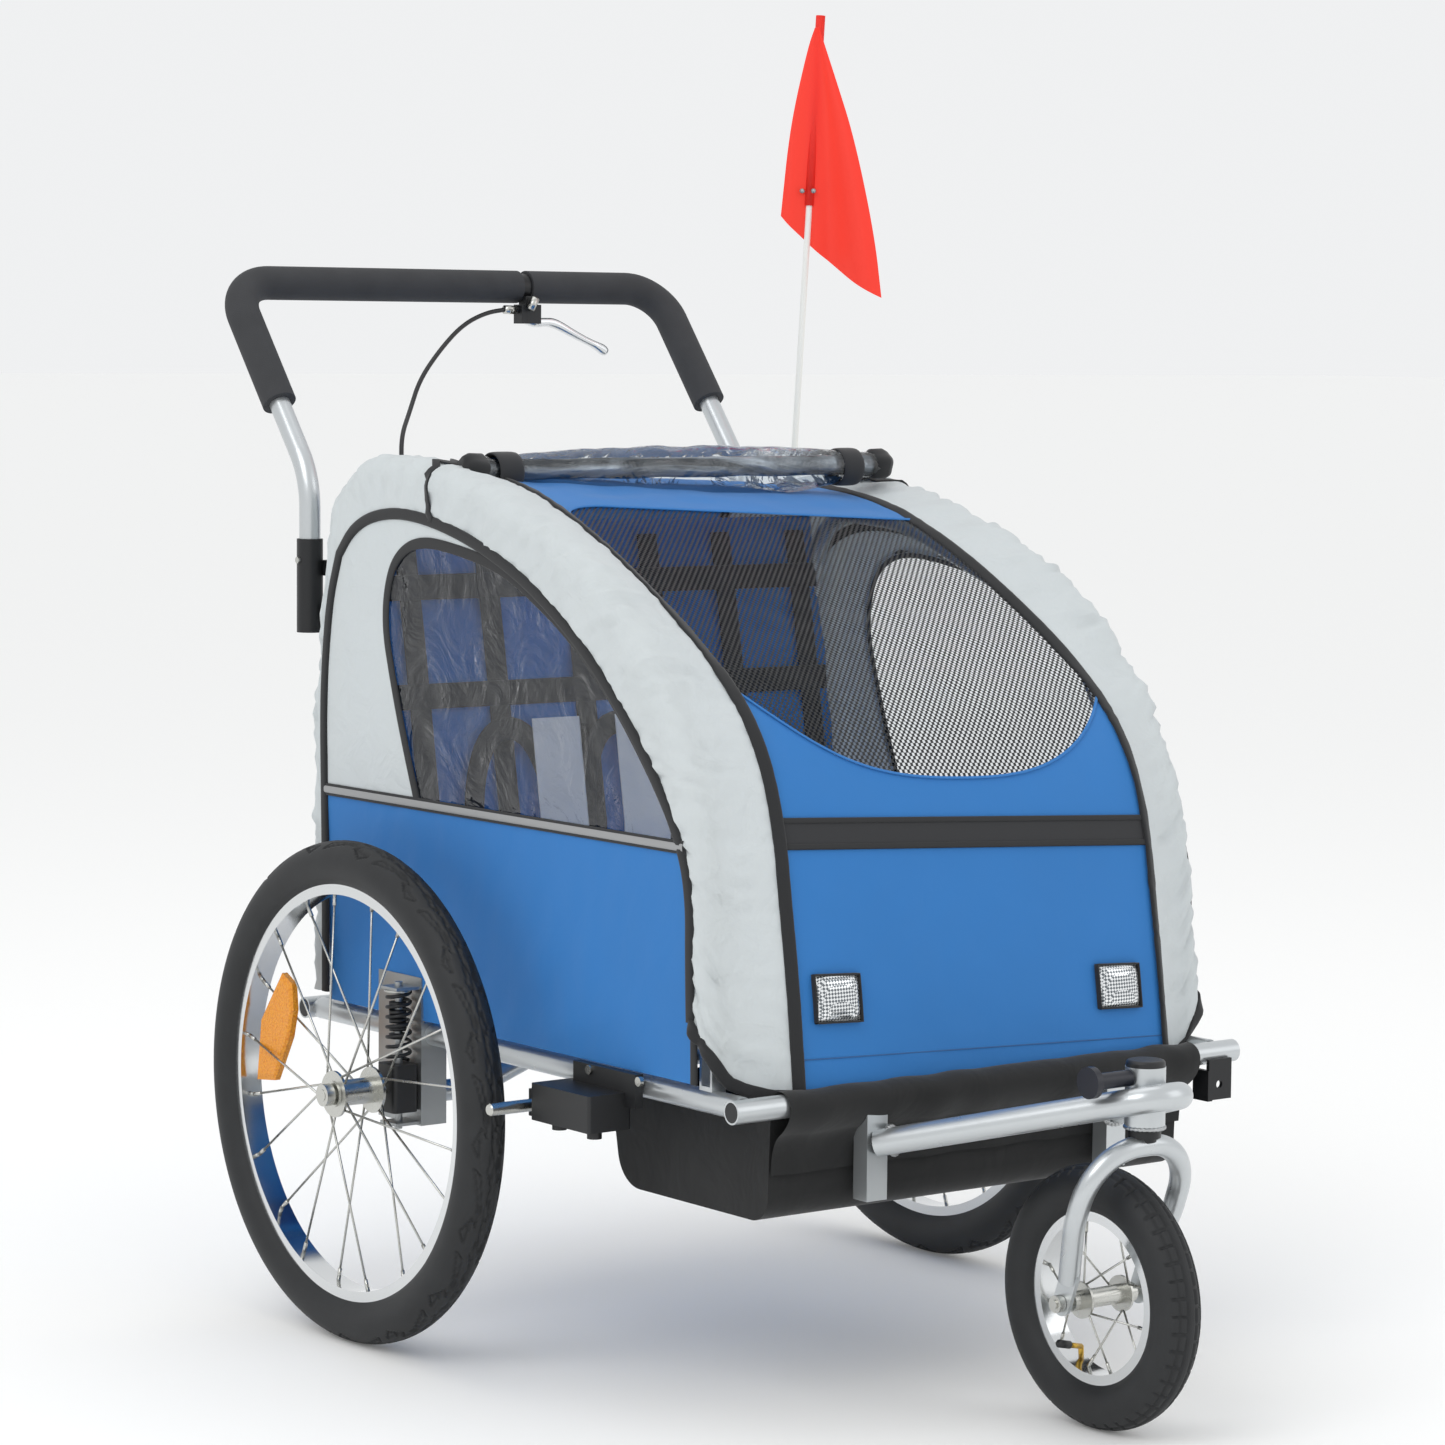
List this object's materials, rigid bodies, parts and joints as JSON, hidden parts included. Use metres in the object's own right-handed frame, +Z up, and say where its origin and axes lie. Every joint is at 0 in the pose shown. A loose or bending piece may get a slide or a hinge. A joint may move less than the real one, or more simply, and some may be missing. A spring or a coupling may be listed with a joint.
{
  "type": "child bicycle trailer",
  "caption": "Fabric-cabin child bicycle trailer with folding side hoops, sprung rear wheels, swivelling front caster and push handlebar.",
  "frame": {"origin": "on the ground under the middle of the whole trailer's box", "axes": "+Z up, the caster and the entrance face -Y, the trailer's right side is -X"},
  "size_m": [0.82, 1.227, 1.3522],
  "materials": {
    "frame_silver": "satin silver powder coat",
    "black_steel": "satin black powder coat",
    "zinc_steel": "zinc plated",
    "rim_metal": "bright plated",
    "lever_alloy": "polished",
    "tyre": "matte",
    "black_plastic": "fine grain",
    "nylon_bush": "smooth",
    "foam": "matte foam",
    "cable_housing": "smooth",
    "blue_fabric": "coated weave",
    "grey_fabric": "coated weave",
    "black_fabric": "coated weave",
    "black_mesh": "open mesh",
    "webbing": "woven webbing",
    "clear_film": "clear soft film",
    "flag_fabric": "bright thin nylon",
    "fibreglass": "smooth"
  },
  "bodies": {
    "chassis": {"side_tubes": "frame_silver", "front_cross_tube": "frame_silver", "floor_cross_tubes": "frame_silver", "axle_beam": "frame_silver", "axle_plates": "black_steel", "front_uprights": "frame_silver", "front_arm": "frame_silver", "head_tube": "frame_silver", "steerer_bushes": "nylon_bush", "hoop_brackets": "black_steel", "rear_frame": "frame_silver", "handle_receivers": "black_steel", "hitch_bracket": "black_plastic", "corner_plate": "black_steel", "end_caps": "black_plastic", "fasteners": "zinc_steel", "hoop_sleeves": "grey_fabric", "side_panels": "blue_fabric", "front_panel": "blue_fabric", "mesh_window": "black_mesh", "roof_panel": "blue_fabric", "rear_panel": "blue_fabric", "rain_cover_roll": "clear_film", "footwell": "black_fabric", "seat_base": "blue_fabric", "seat_back": "blue_fabric", "harness": "webbing", "flag_pole": "fibreglass", "flag_socket": "black_plastic", "safety_flag": "flag_fabric", "brake_cable": "cable_housing"},
    "right_hoop": {"right_hoop": "frame_silver"},
    "left_hoop": {"left_hoop": "frame_silver"},
    "right_carrier": {"right_axle_carrier": "black_plastic", "right_axle": "zinc_steel", "right_spring": "black_steel"},
    "left_carrier": {"left_axle_carrier": "black_plastic", "left_axle": "zinc_steel", "left_spring": "black_steel"},
    "right_wheel": {"right_tyre": "tyre", "right_rim": "rim_metal", "right_spokes": "rim_metal", "right_hub": "zinc_steel"},
    "left_wheel": {"left_tyre": "tyre", "left_rim": "rim_metal", "left_spokes": "rim_metal", "left_hub": "zinc_steel"},
    "fork": {"fork_legs": "frame_silver", "steerer": "black_steel", "caster_axle": "zinc_steel"},
    "caster_wheel": {"caster_tyre": "tyre", "caster_rim": "rim_metal", "caster_spokes": "rim_metal", "caster_hub": "zinc_steel"},
    "handlebar": {"handle_tube": "frame_silver", "foam_grips": "foam", "lever_clamp": "black_steel"},
    "brake_lever": {"brake_lever": "lever_alloy"},
    "lock_knob": {"lock_knob": "black_plastic"},
    "hitch_pin": {"hitch_pin": "zinc_steel"}
  },
  "joints": [
    {"name": "right_fold", "type": "hinge", "parent": "chassis", "child": "right_hoop", "pos_m": [-0.286, 0.04, 0.363], "axis": [0, 1, 0], "range_deg": [0, 90], "deforming": ["hoop_sleeves", "side_panels", "front_panel", "mesh_window", "roof_panel", "rear_panel", "rain_cover_roll", "seat_back", "harness", "seat_base"]},
    {"name": "left_fold", "type": "hinge", "parent": "chassis", "child": "left_hoop", "pos_m": [0.286, 0.04, 0.335], "axis": [0, 1, 0], "range_deg": [-90, 0]},
    {"name": "right_suspension", "type": "slide", "parent": "chassis", "child": "right_carrier", "axis": [0, 0, 1], "range_m": [0, 0.018], "stiffness_N_per_m": 9000, "springref_m": -0.014, "deforming": ["right_spring"]},
    {"name": "left_suspension", "type": "slide", "parent": "chassis", "child": "left_carrier", "axis": [0, 0, 1], "range_m": [0, 0.018], "stiffness_N_per_m": 9000, "springref_m": -0.014, "deforming": ["left_spring"]},
    {"name": "right_wheel_spin", "type": "hinge", "parent": "right_carrier", "child": "right_wheel", "pos_m": [-0.373, 0.202, 0.25], "axis": [1, 0, 0], "continuous": true},
    {"name": "left_wheel_spin", "type": "hinge", "parent": "left_carrier", "child": "left_wheel", "pos_m": [0.373, 0.202, 0.25], "axis": [1, 0, 0], "continuous": true},
    {"name": "fork_swivel", "type": "hinge", "parent": "chassis", "child": "fork", "pos_m": [0, -0.546, 0.31], "axis": [0, 0, 1], "continuous": true},
    {"name": "caster_spin", "type": "hinge", "parent": "fork", "child": "caster_wheel", "pos_m": [0, -0.491, 0.123], "axis": [1, 0, 0], "continuous": true},
    {"name": "handle_slide", "type": "slide", "parent": "chassis", "child": "handlebar", "axis": [0, 0, 1], "range_m": [0, 0.07], "deforming": ["brake_cable"]},
    {"name": "brake_squeeze", "type": "hinge", "parent": "handlebar", "child": "brake_lever", "pos_m": [0.092, 0.581, 1.021], "axis": [0, -1, 0], "range_deg": [0, 12], "stiffness_Nm_per_rad": 0.6, "springref_deg": -8.59},
    {"name": "knob_pull", "type": "slide", "parent": "chassis", "child": "lock_knob", "axis": [-1, 0, 0], "range_m": [0, 0.008], "stiffness_N_per_m": 300, "springref_m": -0.004},
    {"name": "hitch_pin_pull", "type": "slide", "parent": "chassis", "child": "hitch_pin", "axis": [-1, 0, 0], "range_m": [0, 0.03]}
  ],
  "couplings": [
    {"joint": "left_fold", "follows": "right_fold", "ratio": -1}
  ]
}
